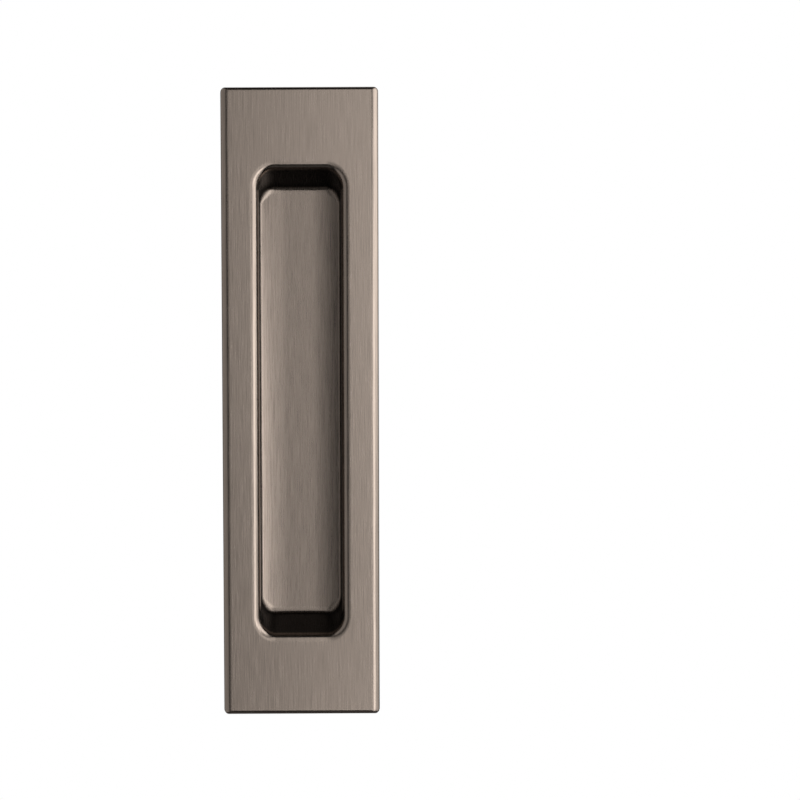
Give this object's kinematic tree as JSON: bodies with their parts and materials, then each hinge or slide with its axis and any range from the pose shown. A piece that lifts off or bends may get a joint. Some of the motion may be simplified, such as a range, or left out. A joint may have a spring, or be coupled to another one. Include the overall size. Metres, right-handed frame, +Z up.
{
  "type": "sliding door flush pull",
  "caption": "Rectangular flush pull for a sliding door: a brushed metal plate with softly rounded edges and a long finger cup, made as one casting.",
  "frame": {"origin": "middle of the plane where the plate sits on the door's face", "axes": "+Z up along the plate's length, +Y into the door, +X across the plate"},
  "size_m": [0.04, 0.0126, 0.16],
  "materials": {
    "brushed_pewter": "zinc casting plated in dark pewter nickel, brushed along its length"
  },
  "bodies": {
    "root": {"flush_pull": "brushed_pewter"}
  },
  "joints": []
}
